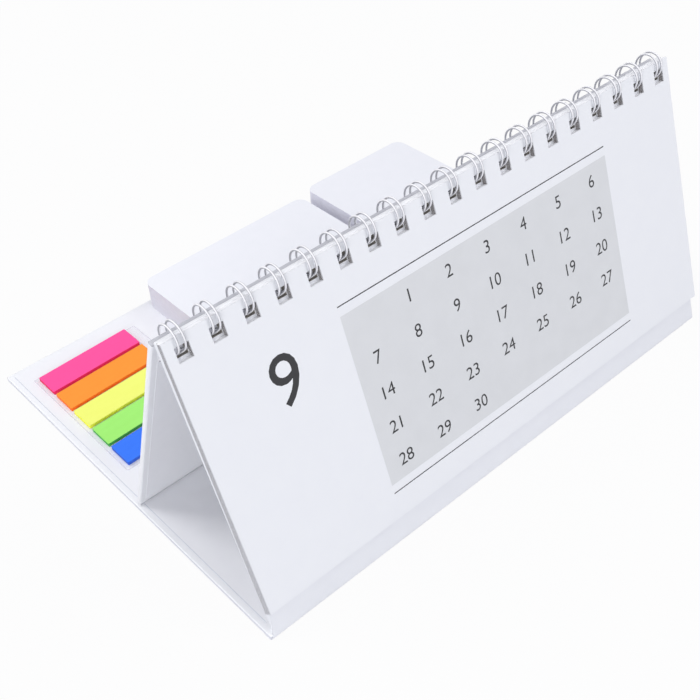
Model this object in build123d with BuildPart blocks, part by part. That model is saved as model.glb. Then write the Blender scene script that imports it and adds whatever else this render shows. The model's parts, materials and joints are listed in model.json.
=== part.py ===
"""Desk calendar: a wire-bound stack of sheets on a paper-covered board tent, with note pads and page flags.

Millimetres. X runs along the wire, Y runs from the front fold to the back, Z is up.
The origin is on the table, below the middle of the whole box.
"""
import os
from math import asin, atan2, cos, degrees, dist, hypot, pi, radians, sin, tan

from build123d import *

# Base board
base_width = 242.4
base_depth = 180.5

# Covered board: greyboard, cover paper turned in round its edges, lining paper inside
board_core = 1.9
cover_paper = 0.15
turn_in = 14.0
lining_rim = 0.1
lining_margin = 2.5

# Front panel: sizes along the slope start at the fold line
panel_side_inset = 0.9
panel_shift = 1.3
panel_slope = 68.34
panel_foot = 1.5
panel_above_sheets = 0.3
base_fold_gap = 0.5
fold_radius = 0.95

# Calendar sheets
sheet_count = 13
sheet_overhang = 0.15
sheet_height = 102.7
sheet_foot = 11.4
sheet_thickness = 0.12
sheet_air = 0.01
first_sheet_air = 0.05
top_sheet_air = 0.25
binding_shift = 1.6

# Punched holes
hole_pitch = 12.7
hole_width = 5.3
hole_height = 5.1
hole_web = 3.0
hole_side_web = 3.2

# The front panel's own holes are narrower, and start higher, than the sheets'
panel_hole_width = 4.5
panel_hole_rise = 1.1

# Twin-loop wire
wire_diameter = 0.8
ring_air = 0.09
ring_below_edge = 1.2
ring_behind_face = 2.0
strand_spacing = 2.6
bridge_bend = 1.2
bridge_angle = -98.2
tip_angle = 232.0

# Rear wall: its foot is measured from the fold line
wall_shift = 1.2
wall_foot = 79.8
wall_foot_air = 0.1
wall_behind_ring = 1.0
wall_below_ring = 0.9
wall_hole_web = 1.9

# Note pads
pad_depth = 63.0
pad_corner = 5.0
note_thickness = 0.1
large_pad_height = 13.0
large_pad_inset = 1.8
small_pad_width = 64.1
small_pad_height = 15.2
small_pad_inset = 0.6
pad_gap = 4.5
pad_right_inset = 4.7
pad_from_carrier = 13.8

# Page flags
flag_colours = ("pink", "orange", "yellow", "green", "blue")
flag_length = 45.0
flag_width = 12.2
flag_pitch = 14.05
flag_height = 1.7
flag_thickness = 0.1
flag_left_inset = 9.4
flag_back_inset = 12.5
carrier_thickness = 0.15
carrier_left = 2.0
carrier_right = 5.6
carrier_ends = 2.0
carrier_corner = 2.0

# Places worked out from the sizes above
board_thickness = 2 * cover_paper + board_core + lining_rim
slope = radians(panel_slope)
fold_setback = fold_radius * tan((radians(180) - slope) / 2)
fold_y = -base_depth / 2 + fold_radius - fold_setback
back_y = base_depth / 2
inner_face_at_base_top = board_thickness * (1 + cos(slope)) / tan(slope) + board_thickness * sin(slope)
base_behind_fold = inner_face_at_base_top + base_fold_gap
panel_width = base_width - 2 * panel_side_inset
sheet_width = panel_width + 2 * sheet_overhang
sheet_top = sheet_foot + sheet_height
stack_depth = first_sheet_air + sheet_count * sheet_thickness + (sheet_count - 2) * sheet_air + top_sheet_air
hole_count = int((sheet_width - 2 * hole_side_web - hole_width) / hole_pitch) + 1
hole_middle = sheet_top - hole_web - hole_height / 2
panel_hole_height = hole_height - panel_hole_rise
panel_hole_middle = hole_middle + panel_hole_rise / 2

# The sheets and the wire stand out past the base's right edge, and the whole is centred on X
binding_right = binding_shift + max(sheet_width, hole_count * hole_pitch) / 2
base_x = (base_width / 2 - binding_right) / 2
panel_x = base_x + panel_shift
wall_x = base_x + wall_shift
binding_x = base_x + binding_shift
hole_xs = [binding_x + (i - (hole_count - 1) / 2) * hole_pitch for i in range(hole_count)]

# The panel's outer face: local Y climbs the slope, local Z faces the reader
panel_face = Plane(origin=(0, fold_y, 0), x_dir=(1, 0, 0), z_dir=(0, -sin(slope), cos(slope)))

# The loops' common axis, in the YZ plane
ring_along = sheet_top - ring_below_edge
ring_y = fold_y + ring_along * cos(slope) + ring_behind_face * sin(slope)
ring_z = ring_along * sin(slope) - ring_behind_face * cos(slope)

# The rear wall's inner face passes its foot and stays behind the loops' axis
foot_y = fold_y + wall_foot
foot_z = board_thickness + wall_foot_air
foot_to_ring = dist((foot_y, foot_z), (ring_y, ring_z))
wall_slope = atan2(ring_z - foot_z, foot_y - ring_y) + asin(wall_behind_ring / foot_to_ring)
wall_height = (foot_to_ring**2 - wall_behind_ring**2) ** 0.5 - wall_below_ring
wall_face = Plane(
    origin=(0, foot_y + board_thickness * sin(wall_slope), foot_z + board_thickness * cos(wall_slope)),
    x_dir=(1, 0, 0),
    z_dir=(0, -sin(wall_slope), -cos(wall_slope)),
)
wall_hole_middle = wall_height - wall_hole_web - hole_height / 2

# The loops run round the outermost corners of the strips above the holes
sheet_reach = hypot(ring_behind_face + stack_depth, max(ring_below_edge, hole_web - ring_below_edge))
wall_reach = hypot(wall_behind_ring + board_thickness, wall_below_ring + wall_hole_web)
ring_radius = max(sheet_reach, wall_reach) + ring_air + wire_diameter / 2


def save(piece, label):
    """Name a finished piece and write it."""
    piece.part.label = label
    export_step(piece.part, f"parts/{label}.step")


def covered_board(name, face, x, width, low, high, inward, punch=(), hole=(hole_width, hole_height)):
    """Greyboard, its cover paper and its lining, on an outer face, from low to high along local Y.

    Holes of one size are punched at the given points.
    """
    middle = (x, (low + high) / 2)
    height = high - low
    core_start = inward * cover_paper
    core_end = inward * (cover_paper + board_core)
    cover_end = inward * (2 * cover_paper + board_core)
    window_width = width - 2 * turn_in
    window_height = height - 2 * turn_in

    with BuildPart() as core:
        with BuildSketch(face.offset(core_start)):
            with Locations(middle):
                Rectangle(width - 2 * cover_paper, height - 2 * cover_paper)
            if punch:
                with Locations(*punch):
                    Rectangle(*hole, mode=Mode.SUBTRACT)
        extrude(amount=inward * board_core)
    save(core, f"{name}_board")

    with BuildPart() as cover:
        with BuildSketch(face):
            with Locations(middle):
                Rectangle(width, height)
            if punch:
                with Locations(*punch):
                    Rectangle(*hole, mode=Mode.SUBTRACT)
        extrude(amount=cover_end)
        with BuildSketch(face.offset(core_start)):
            with Locations(middle):
                Rectangle(width - 2 * cover_paper, height - 2 * cover_paper)
        extrude(amount=inward * board_core, mode=Mode.SUBTRACT)
        with BuildSketch(face.offset(core_end)):
            with Locations(middle):
                Rectangle(window_width, window_height)
        extrude(amount=inward * cover_paper, mode=Mode.SUBTRACT)
    save(cover, f"{name}_cover")

    with BuildPart() as lining:
        with BuildSketch(face.offset(cover_end)):
            with Locations(middle):
                Rectangle(width - 2 * lining_margin, height - 2 * lining_margin)
            if punch:
                with Locations(*punch):
                    Rectangle(*hole, mode=Mode.SUBTRACT)
        extrude(amount=inward * lining_rim)
        with BuildSketch(face.offset(core_end)):
            with Locations(middle):
                Rectangle(window_width, window_height)
        extrude(amount=inward * cover_paper)
    save(lining, f"{name}_lining")


def front_fold():
    """The cover paper between base and front panel, bent round the fold line."""
    inner_radius = fold_radius - cover_paper
    centre = (fold_y + fold_setback, fold_radius)
    toward_panel = (-sin(slope), cos(slope))
    half_way = (radians(270) + radians(90) + slope) / 2

    def on_arc(radius, angle):
        return (centre[0] + radius * cos(angle), centre[1] + radius * sin(angle))

    def on_panel(along, depth):
        return (
            fold_y + along * cos(slope) - depth * toward_panel[0],
            along * sin(slope) - depth * toward_panel[1],
        )

    start = radians(270)
    end = radians(90) + slope
    base_edge = fold_y + base_behind_fold
    with BuildPart() as fold:
        with BuildSketch(Plane.YZ.offset(base_x - base_width / 2)):
            with BuildLine():
                Line((base_edge, 0), on_arc(fold_radius, start))
                ThreePointArc(
                    on_arc(fold_radius, start), on_arc(fold_radius, half_way), on_arc(fold_radius, end)
                )
                Line(on_arc(fold_radius, end), on_panel(panel_foot, 0))
                Line(on_panel(panel_foot, 0), on_panel(panel_foot, cover_paper))
                Line(on_panel(panel_foot, cover_paper), on_arc(inner_radius, end))
                ThreePointArc(
                    on_arc(inner_radius, end), on_arc(inner_radius, half_way), on_arc(inner_radius, start)
                )
                Line(on_arc(inner_radius, start), (base_edge, cover_paper))
                Line((base_edge, cover_paper), (base_edge, 0))
            make_face()
        extrude(amount=base_width)
    save(fold, "front_fold")


def on_ring(x, angle, ahead=0.0):
    """A point on the loops' ring, or ahead of it along the ring's tangent there."""
    a = radians(angle)
    return Vector(
        x,
        ring_y + ring_radius * cos(a) - ahead * sin(a),
        ring_z + ring_radius * sin(a) + ahead * cos(a),
    )


def wire_binding():
    """One unbroken wire: a bridge, a strand round the ring, a tip, the strand back, the next bridge."""
    half = strand_spacing / 2
    corner = cos(radians(45))
    strand_start = bridge_angle + degrees(bridge_bend / ring_radius)
    strand_end = tip_angle - degrees(half / ring_radius)
    quarters = 4
    step = (strand_end - strand_start) / quarters

    with BuildPart() as wire:
        for hole_x in hole_xs:
            left = hole_x - half
            right = hole_x + half
            bend_side = bridge_bend * (1 - corner)
            with BuildLine() as path:
                Line(
                    on_ring(hole_x - hole_pitch / 2, strand_start, -bridge_bend),
                    on_ring(left - bridge_bend, strand_start, -bridge_bend),
                )
                ThreePointArc(
                    on_ring(left - bridge_bend, strand_start, -bridge_bend),
                    on_ring(left - bend_side, strand_start, -bridge_bend * corner),
                    on_ring(left, strand_start),
                )
                for i in range(quarters):
                    a = strand_start + i * step
                    ThreePointArc(on_ring(left, a), on_ring(left, a + step / 2), on_ring(left, a + step))
                ThreePointArc(
                    on_ring(left, strand_end),
                    on_ring(hole_x, strand_end, half),
                    on_ring(right, strand_end),
                )
                for i in range(quarters):
                    a = strand_end - i * step
                    ThreePointArc(on_ring(right, a), on_ring(right, a - step / 2), on_ring(right, a - step))
                ThreePointArc(
                    on_ring(right, strand_start),
                    on_ring(right + bend_side, strand_start, -bridge_bend * corner),
                    on_ring(right + bridge_bend, strand_start, -bridge_bend),
                )
                Line(
                    on_ring(right + bridge_bend, strand_start, -bridge_bend),
                    on_ring(hole_x + hole_pitch / 2, strand_start, -bridge_bend),
                )
            with BuildSketch(Plane(origin=path.line @ 0, z_dir=(1, 0, 0))):
                Circle(wire_diameter / 2)
            sweep(path=path.line)
    save(wire, "wire_binding")
    gap = least_gap(path.wire())
    print(f"wire: {hole_count} loops of radius {ring_radius:.2f} mm, least gap to itself {gap:.2f} mm")


def least_gap(loop):
    """The wire's least gap to itself, measured on points of two neighbouring loops.

    Points closer along the wire than a tip's half turn are neighbours, not a gap.
    """
    samples = 240
    first = [loop @ (i / samples) for i in range(samples)]
    points = first + [point + Vector(hole_pitch, 0, 0) for point in first]
    apart = int(pi * strand_spacing / 2 / loop.length * samples) + 1
    nearest = min((b - a).length for i, a in enumerate(points) for b in points[i + apart :])
    return nearest - wire_diameter


def sheets():
    """The punched sheets, from the one against the panel to the one on top."""
    for i in range(sheet_count):
        depth = first_sheet_air + i * (sheet_thickness + sheet_air)
        if i == sheet_count - 1:
            depth += top_sheet_air - sheet_air
        with BuildPart() as sheet:
            with BuildSketch(panel_face.offset(depth)):
                with Locations((binding_x, sheet_foot + sheet_height / 2)):
                    Rectangle(sheet_width, sheet_height)
                with Locations(*[(x, hole_middle) for x in hole_xs]):
                    Rectangle(hole_width, hole_height, mode=Mode.SUBTRACT)
            extrude(amount=sheet_thickness)
        save(sheet, f"sheet_{sheet_count - i:02d}")


def note_pad(name, left, width, back, height):
    """A pad of notes with round corners, and its top note, glued along the back edge."""
    layers = (
        (f"{name}_pad", board_thickness, height - note_thickness),
        (f"{name}_top_note", board_thickness + height - note_thickness, note_thickness),
    )
    for label, bottom, thickness in layers:
        with BuildPart() as layer:
            with BuildSketch(Plane.XY.offset(bottom)):
                with Locations((left + width / 2, back - pad_depth / 2)):
                    RectangleRounded(width, pad_depth, pad_corner)
            extrude(amount=thickness)
        save(layer, label)


def page_flags(left):
    """Five flag pads on one clear carrier, each with its top flag, glued at the right end."""
    back = back_y - flag_back_inset
    carrier_width = carrier_left + flag_length + carrier_right
    carrier_depth = (len(flag_colours) - 1) * flag_pitch + flag_width + 2 * carrier_ends
    with BuildPart() as carrier:
        with BuildSketch(Plane.XY.offset(board_thickness)):
            middle = (left - carrier_left + carrier_width / 2, back + carrier_ends - carrier_depth / 2)
            with Locations(middle):
                RectangleRounded(carrier_width, carrier_depth, carrier_corner)
        extrude(amount=carrier_thickness)
    save(carrier, "flag_carrier")

    bottom = board_thickness + carrier_thickness
    for i, colour in enumerate(flag_colours):
        middle = (left + flag_length / 2, back - i * flag_pitch - flag_width / 2)
        with BuildPart() as stack:
            with BuildSketch(Plane.XY.offset(bottom)):
                with Locations(middle):
                    Rectangle(flag_length, flag_width)
            extrude(amount=flag_height - flag_thickness)
        save(stack, f"flag_pad_{colour}")
        with BuildPart() as top:
            with BuildSketch(Plane.XY.offset(bottom + flag_height - flag_thickness)):
                with Locations(middle):
                    Rectangle(flag_length, flag_width)
            extrude(amount=flag_thickness)
        save(top, f"flag_top_{colour}")


os.makedirs("parts", exist_ok=True)

covered_board("base", Plane.XY, base_x, base_width, fold_y + base_behind_fold, back_y, 1)
covered_board(
    "front",
    panel_face,
    panel_x,
    panel_width,
    panel_foot,
    sheet_top + panel_above_sheets,
    -1,
    [(x, panel_hole_middle) for x in hole_xs],
    (panel_hole_width, panel_hole_height),
)
covered_board(
    "rear",
    wall_face,
    wall_x,
    panel_width,
    0,
    wall_height,
    1,
    [(x, wall_hole_middle) for x in hole_xs],
)
front_fold()
wire_binding()
sheets()
flags_left = base_x - base_width / 2 + flag_left_inset
small_pad_left = base_x + base_width / 2 - pad_right_inset - small_pad_width
large_pad_left = flags_left + flag_length + carrier_right + pad_from_carrier
large_pad_width = small_pad_left - pad_gap - large_pad_left
note_pad("large", large_pad_left, large_pad_width, back_y - large_pad_inset, large_pad_height)
note_pad("small", small_pad_left, small_pad_width, back_y - small_pad_inset, small_pad_height)
page_flags(flags_left)

print(f"fold at y {fold_y:.3f}, ring axis at y {ring_y:.3f}, z {ring_z:.3f}")
print(f"rear wall: slope {degrees(wall_slope):.2f} degrees, height {wall_height:.2f} mm")
print(f"wide note pad: {large_pad_width:.1f} mm wide")
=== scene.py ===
# %% [markdown]
# # A desk calendar of white paper, board and wire
#
# The object is a tent of paper-covered board. A stack of punched sheets hangs on a white wire at
# its top, and note pads and coloured page flags lie on the base behind it. Everything is paper
# thin or board thin, so the looks come from edges: where a sheet ends, how a board's edge rounds,
# how the light falls into the tent. Each piece is worked out as whole arrays of points and put
# on the plane of the board that carries it.

# %% Load the frame
import json
from math import asin, atan2, cos, dist, hypot, radians, sin

import bpy
import numpy as np
from mathutils import Matrix, Vector


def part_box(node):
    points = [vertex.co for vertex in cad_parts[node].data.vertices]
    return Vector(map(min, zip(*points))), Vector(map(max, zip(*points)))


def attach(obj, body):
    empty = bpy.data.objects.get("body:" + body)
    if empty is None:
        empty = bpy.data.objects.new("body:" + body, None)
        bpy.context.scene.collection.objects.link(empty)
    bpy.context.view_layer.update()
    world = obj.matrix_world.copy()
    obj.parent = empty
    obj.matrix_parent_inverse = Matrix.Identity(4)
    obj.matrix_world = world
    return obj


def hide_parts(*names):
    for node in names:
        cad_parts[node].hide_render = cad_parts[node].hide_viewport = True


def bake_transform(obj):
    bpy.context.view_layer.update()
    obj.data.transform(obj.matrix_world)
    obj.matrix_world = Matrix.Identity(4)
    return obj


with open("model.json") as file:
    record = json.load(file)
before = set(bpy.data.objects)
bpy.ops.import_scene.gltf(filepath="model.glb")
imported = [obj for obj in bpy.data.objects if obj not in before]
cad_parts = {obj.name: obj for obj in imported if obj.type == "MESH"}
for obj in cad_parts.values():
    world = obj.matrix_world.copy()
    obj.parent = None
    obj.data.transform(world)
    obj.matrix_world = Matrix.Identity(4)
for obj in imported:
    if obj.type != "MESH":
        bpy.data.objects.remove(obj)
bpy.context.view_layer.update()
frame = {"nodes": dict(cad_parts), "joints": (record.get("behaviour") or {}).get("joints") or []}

# %% [markdown]
# ## Sizes and planes
#
# All sizes are in millimetres and are turned to metres once, when a piece is placed. Each board
# has a plane of its own: an origin on its outer face, the X axis along the wire, a line that
# climbs the board, and a normal. A piece is drawn flat as (x, climb, height) and then laid on
# its plane, which is easier to read than turning objects, and leaves every object at the origin.

# %% Planes of the boards
mm = 0.001
board = 2.2
lining = 0.1
joint_at = {joint["name"]: np.array(joint["pos_m"]) / mm for joint in frame["joints"]}
fold_y = joint_at["front_panel_open"][1]
ring_y, ring_z = joint_at["rear_wall_swing"][1:]

panel_slope = 68.34
wall_foot = 79.8
wall_foot_air = 0.1
wall_behind_ring = 1.0
wall_below_ring = 0.9
slope = radians(panel_slope)
foot_y = fold_y + wall_foot
foot_z = board + lining + wall_foot_air
foot_to_ring = dist((foot_y, foot_z), (ring_y, ring_z))
lean = atan2(ring_z - foot_z, foot_y - ring_y) + asin(wall_behind_ring / foot_to_ring)
wall_height = (foot_to_ring**2 - wall_behind_ring**2) ** 0.5 - wall_below_ring
wall_back = (board + lining) * np.array((0, sin(lean), cos(lean)))
wall_origin = np.array((0, foot_y, foot_z)) + wall_back

planes = {
    "base": (np.zeros(3), (0, 1, 0), (0, 0, 1)),
    "panel": (np.array((0, fold_y, 0)), (0, cos(slope), sin(slope)), (0, -sin(slope), cos(slope))),
    "wall": (wall_origin, (0, -cos(lean), sin(lean)), (0, -sin(lean), -cos(lean))),
}


def on_plane(flat, plane):
    """Origin, plus x along X, plus climb along the climbing line, plus height along the normal."""
    origin, climb, normal = planes[plane]
    axes = np.array(((1, 0, 0), climb, normal))
    return (origin + flat @ axes) * mm


def reach(node, axis):
    """The low and high end of a CAD node along one axis, in millimetres."""
    low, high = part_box(node)
    return low[axis] / mm, high[axis] / mm


print(f"panel climbs at {panel_slope:.1f} degrees, wall at {np.degrees(lean):.1f}")
print(f"wall {wall_height:.1f} mm high")

# %% [markdown]
# ## Colours and nodes
#
# A colour is written as the sRGB hex value that the eye would pick from a screen, and one
# function turns it to the linear numbers that the shader wants. Another adds a node, sets what
# it is given and links what is a socket, so that each material below reads as a short recipe.

# %% Colour and node helpers
def linear(hex_colour):
    """A channel c of 0 to 1 becomes c / 12.92 up to 0.04045, and ((c + 0.055) / 1.055) ** 2.4 above."""
    c = np.array([int(hex_colour[i : i + 2], 16) for i in (1, 3, 5)]) / 255
    return (*np.where(c <= 0.04045, c / 12.92, ((c + 0.055) / 1.055) ** 2.4), 1.0)


def add_node(tree, kind, inputs=None, **settings):
    """A node of that kind: settings are its own, inputs are values or sockets to link."""
    added = tree.nodes.new(kind)
    for key, value in settings.items():
        setattr(added, key, value)
    for key, value in (inputs or {}).items():
        if isinstance(value, bpy.types.NodeSocket):
            tree.links.new(value, added.inputs[key])
        else:
            added.inputs[key].default_value = value
    return added


def new_material(name):
    """An empty node material and its tree."""
    made = bpy.data.materials.new(name)
    made.use_nodes = True
    made.node_tree.nodes.clear()
    return made, made.node_tree


def per_metre(size_mm):
    """A noise scale that makes its blotches about that many millimetres wide."""
    return 1 / (size_mm * mm)


print(f"middle grey #808080 is {linear('#808080')[0]:.3f} in linear light")

# %% [markdown]
# ## Papers
#
# White paper isn't one white. Pulp settles in clouds a few millimetres wide, which shows as the
# faintest change of tone, and the surface has a felt-like grain. Both are noise on Object
# coordinates. The real grain is about 0.1 mm, finer than a pixel here, so it is drawn at about
# 0.5 mm. The papers differ in tone and in how they take the light: the cover is smooth and a
# little satin, the lining and the notes are matt.

# %% Paper materials
fibre_ior = 1.45


def bumped_skin(tree, tone, height, relief_mm, strength, roughness, ior):
    """The end of a material: a bump of that relief under a skin of that tone, and the output."""
    bump = add_node(
        tree, "ShaderNodeBump", {"Height": height, "Distance": relief_mm * mm, "Strength": strength}
    )
    skin = add_node(
        tree,
        "ShaderNodeBsdfPrincipled",
        {"Base Color": tone, "Roughness": roughness, "IOR": ior, "Normal": bump.outputs["Normal"]},
    )
    add_node(tree, "ShaderNodeOutputMaterial", {"Surface": skin.outputs[0]})


def paper(name, colour, cloud, roughness, cloud_mm, grain_mm, relief_mm):
    """Noise clouds mix two near tones; finer noise lifts the surface by the relief."""
    made, tree = new_material(name)
    where = add_node(tree, "ShaderNodeTexCoord").outputs["Object"]
    clouds = add_node(
        tree, "ShaderNodeTexNoise", {"Vector": where, "Scale": per_metre(cloud_mm), "Detail": 3.0}
    )
    tones = {0: clouds.outputs["Fac"], 6: linear(colour), 7: linear(cloud)}
    tone = add_node(tree, "ShaderNodeMix", tones, data_type="RGBA")
    grain = add_node(
        tree, "ShaderNodeTexNoise", {"Vector": where, "Scale": per_metre(grain_mm), "Detail": 2.0}
    )
    bumped_skin(tree, tone.outputs[2], grain.outputs["Fac"], relief_mm, 0.5, roughness, fibre_ior)
    return made


# Each call gives tone, cloud tone, roughness, and in millimetres the cloud, the grain and its relief.
# Laminated cover paper: smooth, so the boards look clean and have a soft sheen.
cover_paper = paper("laminated cover paper", "#F4F5F8", "#F0F2F5", 0.4, 7.0, 0.6, 0.003)
# The same paper on the panel's face, a little rougher and painted a little darker: painted shade,
# for a face that gets less light than those that look up.
shaded_panel_paper = paper("cover paper, painted face shade", "#EDEFF3", "#E9EBF0", 0.5, 7.0, 0.6, 0.01)
# The same paper along the rear wall's top and its foot, matt and grey: painted shade for the
# crevice behind the panel's top and for the contact at the base.
shaded_rim_paper = paper("cover paper, painted rim shade", "#C8C9CF", "#C3C4CA", 0.6, 6.0, 0.6, 0.01)
# The base's sides, matt and a little grey: the grey is painted shade, for sides that get less light
# than the top.
shaded_side_paper = paper("cover paper, painted side shade", "#DFE1E8", "#DBDDE4", 0.65, 5.0, 0.6, 0.003)
# Uncoated lining paper: as white as the cover but matt, so it looks softer beside the turned-in rim.
lining_paper = paper("uncoated lining paper", "#F4F5F8", "#F0F1F5", 0.75, 5.0, 0.5, 0.02)
# The base lining's left and right quarter millimetre: a fine grey line, the painted shadow of the
# lining's cut edge.
painted_edge_shadow = paper("lining paper, painted edge shadow", "#D0D5DE", "#CACFD8", 0.8, 4.0, 0.6, 0.003)
# Offset paper: matt and bright, with a faint cloudiness in large plain areas.
sheet_paper = paper("matt offset paper", "#F1F3F6", "#EEF0F4", 0.62, 8.0, 0.5, 0.015)
# Its trimmed edge: painted greyer than its face, for the shade between the leaves on a stack's side.
shaded_sheet_edge = paper("trimmed paper edge, painted shade", "#A6A4A7", "#969497", 0.9, 1.0, 0.4, 0.03)
# Its punched edge on each hole's wall that looks left: painted dark, a painted shade for a wall
# that faces away from the light.
shaded_hole_wall = paper("punched paper edge, painted shade", "#837E7D", "#736E6D", 0.95, 4.0, 0.6, 0.005)
# Its other cut edges, at the top and at the foot of each hole: painted whiter than the face, a
# painted light.
lit_cut_edge = paper("cut paper edge, painted light", "#FDFDFF", "#F8F8FB", 0.8, 3.0, 0.5, 0.005)
# Note paper: uncoated and soft.
note_paper = paper("uncoated note paper", "#F2F3F8", "#EEF0F5", 0.7, 6.0, 0.5, 0.015)
# Its cut side: many leaf edges, a little greyer and bluer than one leaf's face, as painted shade.
# The large pad's side is painted darker still; the small pad's side is painted lighter, a painted
# light, so it stays nearly as light as its face.
shaded_and_lit_note_edges = {
    "large": paper("note paper edge, painted shade", "#D9D9E2", "#D1D1DB", 0.85, 3.0, 0.4, 0.02),
    "small": paper("note paper edge, painted light", "#EFEFF8", "#E8E8F2", 0.85, 3.0, 0.4, 0.02),
}
# Greyboard: pulped waste paper, speckled grey, seen only inside the punched holes.
greyboard = paper("grey millboard", "#9A968F", "#7F7B75", 0.95, 0.8, 0.4, 0.05)
print("fourteen papers made, from", cover_paper.name, "to", greyboard.name)

# %% [markdown]
# ## Wire coat
#
# The wire is steel in a white nylon coat, which is smooth and glossy, so each loop carries a
# bright line. Its flanks are painted greyer, a painted shade for the sides of each strand. An
# attribute of the wire's mesh, called flank, tells the coat where they are.

# %% Wire coat
def nylon_coat():
    """A glossy white skin, faintly uneven, with painted shade that turns it grey where the attribute
    flank nears 1.
    """
    made, tree = new_material("white nylon coat, painted flank shade")
    where = add_node(tree, "ShaderNodeTexCoord").outputs["Object"]
    dips = add_node(
        tree, "ShaderNodeTexNoise", {"Vector": where, "Scale": per_metre(1.0), "Detail": 1.0}
    )
    tones = {0: dips.outputs["Fac"], 6: linear("#FAFAFC"), 7: linear("#F2F2F5")}
    white = add_node(tree, "ShaderNodeMix", tones, data_type="RGBA")
    flank = add_node(tree, "ShaderNodeAttribute", attribute_name="flank")
    flank_shade = add_node(
        tree, "ShaderNodeMapRange", {"Value": flank.outputs["Fac"], "From Min": 0.4, "From Max": 0.85}
    )
    tones = {0: flank_shade.outputs[0], 6: white.outputs[2], 7: linear("#B0B1B7")}
    tone = add_node(tree, "ShaderNodeMix", tones, data_type="RGBA")
    bumped_skin(tree, tone.outputs[2], dips.outputs["Fac"], 0.02, 0.4, roughness=0.3, ior=1.25)
    return made


# Nylon coat: glossy white, with a bright line along each strand and painted shade on the flanks.
wire_coat = nylon_coat()
print("wire:", wire_coat.name)

# %% [markdown]
# ## Film
#
# The film under the flags is clear polyester: it is nearly unseen, and only its reflections and
# its cut edge give it away. On so thin a sheet bent light would hardly show, so it is a glossy
# skin that is mostly see-through.

# %% Film
def clear_film(name, colour, alpha):
    """Almost see-through, with a haze of fine scuffs in its gloss."""
    made, tree = new_material(name)
    where = add_node(tree, "ShaderNodeTexCoord").outputs["Object"]
    scuffs = add_node(
        tree, "ShaderNodeTexNoise", {"Vector": where, "Scale": per_metre(2.0), "Detail": 3.0}
    )
    haze = add_node(
        tree, "ShaderNodeMapRange", {"Value": scuffs.outputs["Fac"], "To Min": 0.08, "To Max": 0.3}
    )
    skin = add_node(
        tree,
        "ShaderNodeBsdfPrincipled",
        {"Base Color": linear(colour), "Roughness": haze.outputs[0], "IOR": 1.5, "Alpha": alpha},
    )
    add_node(tree, "ShaderNodeOutputMaterial", {"Surface": skin.outputs[0]})
    return made


# Polyester film: almost nothing to see but a faint sheen.
film = clear_film("clear polyester film", "#F0EEF6", 0.06)
# Its cut edge: a painted highlight, a pale line round the flags.
film_rim_highlight = clear_film("cut film edge, painted highlight", "#D9D5E2", 0.25)
print("film:", film.name, "and", film_rim_highlight.name)

# %% [markdown]
# ## Flag stock
#
# The flags are dyed through, so their cut sides are as strong in colour as their faces, and
# deeper, because the dye shows through many edges; they are also painted darker than the faces,
# a painted shade. Their fibres lie along the flag, so the noise is stretched that way.

# %% Flag stock
def flag_stock(name, colour, deep, roughness):
    """Dyed paper: noise stretched along the flag mixes the dye with a deeper one."""
    made, tree = new_material(name)
    where = add_node(tree, "ShaderNodeTexCoord").outputs["Object"]
    along = add_node(tree, "ShaderNodeMapping", {"Vector": where, "Scale": (0.2, 1.0, 1.0)})
    streaks = add_node(
        tree,
        "ShaderNodeTexNoise",
        {"Vector": along.outputs["Vector"], "Scale": per_metre(1.5), "Detail": 2.0},
    )
    tones = {0: streaks.outputs["Fac"], 6: linear(colour), 7: linear(deep)}
    tone = add_node(tree, "ShaderNodeMix", tones, data_type="RGBA")
    bumped_skin(tree, tone.outputs[2], streaks.outputs["Fac"], 0.02, 0.5, roughness, fibre_ior)
    return made


face_roughness = 0.55
cut_roughness = 0.8
# Dyed flag stock, face up: bright, smooth and a little satin.
flag_faces = {
    "pink": ("#FF4E9F", "#FB4A9A"),
    "orange": ("#FF9A2C", "#FC9426"),
    "yellow": ("#F8FF7C", "#F4FB72"),
    "green": ("#A6F676", "#A0F06E"),
    "blue": ("#307CFF", "#2A74F8"),
}
# The same stock on its cut side: many edges together, matt and deeper in colour, and painted
# darker as shade.
shaded_flag_sides = {
    "pink": ("#F03068", "#E42660"),
    "orange": ("#FF7A1E", "#FF7016"),
    "yellow": ("#F8F84C", "#F0F040"),
    "green": ("#4CB450", "#42A648"),
    "blue": ("#3464D4", "#2A58C4"),
}
flag_tops = {c: flag_stock(f"{c} flag face", *pair, face_roughness) for c, pair in flag_faces.items()}
shaded_flag_cuts = {c: flag_stock(f"{c} flag cut side, painted shade", *pair, cut_roughness) for c, pair in shaded_flag_sides.items()}
print("flag colours:", ", ".join(flag_tops))

# %% [markdown]
# ## Putting points into meshes
#
# Every piece goes through one function, which makes the mesh, gives each face its material,
# shades round edges smooth and keeps corners sharp, and ties the piece to its CAD body. Another
# puts faces on points that stand in closed rows, as the fold's, the pads' and the flags' do.

# %% Mesh helpers
sharp_from = 35


def new_piece(name, points, faces, materials, kinds, body, nodes=()):
    """A mesh from points in metres and faces; kinds picks a material for each face."""
    mesh = bpy.data.meshes.new(name)
    mesh.from_pydata(points.tolist(), [], faces)
    for made in materials:
        mesh.materials.append(made)
    mesh.polygons.foreach_set("material_index", np.asarray(kinds, dtype=np.int32))
    mesh.polygons.foreach_set("use_smooth", np.ones(len(faces), dtype=bool))
    mesh.set_sharp_from_angle(angle=radians(sharp_from))
    mesh.update()
    piece = bpy.data.objects.new(name, mesh)
    bpy.context.scene.collection.objects.link(piece)
    if body:
        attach(piece, body)
    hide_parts(*nodes)
    return piece


def tube_faces(points):
    """Quads between rows of points, each row closed on itself, and a face on both ends."""
    index = np.arange(points[:, :, 0].size).reshape(points.shape[:2])
    after = np.roll(index, -1, axis=1)
    faces = np.stack((index[:-1], after[:-1], after[1:], index[1:]), axis=-1).reshape(-1, 4).tolist()
    return faces + [index[0, ::-1].tolist(), index[-1].tolist()]


print(f"edges of {sharp_from} degrees and more stay sharp")

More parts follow.
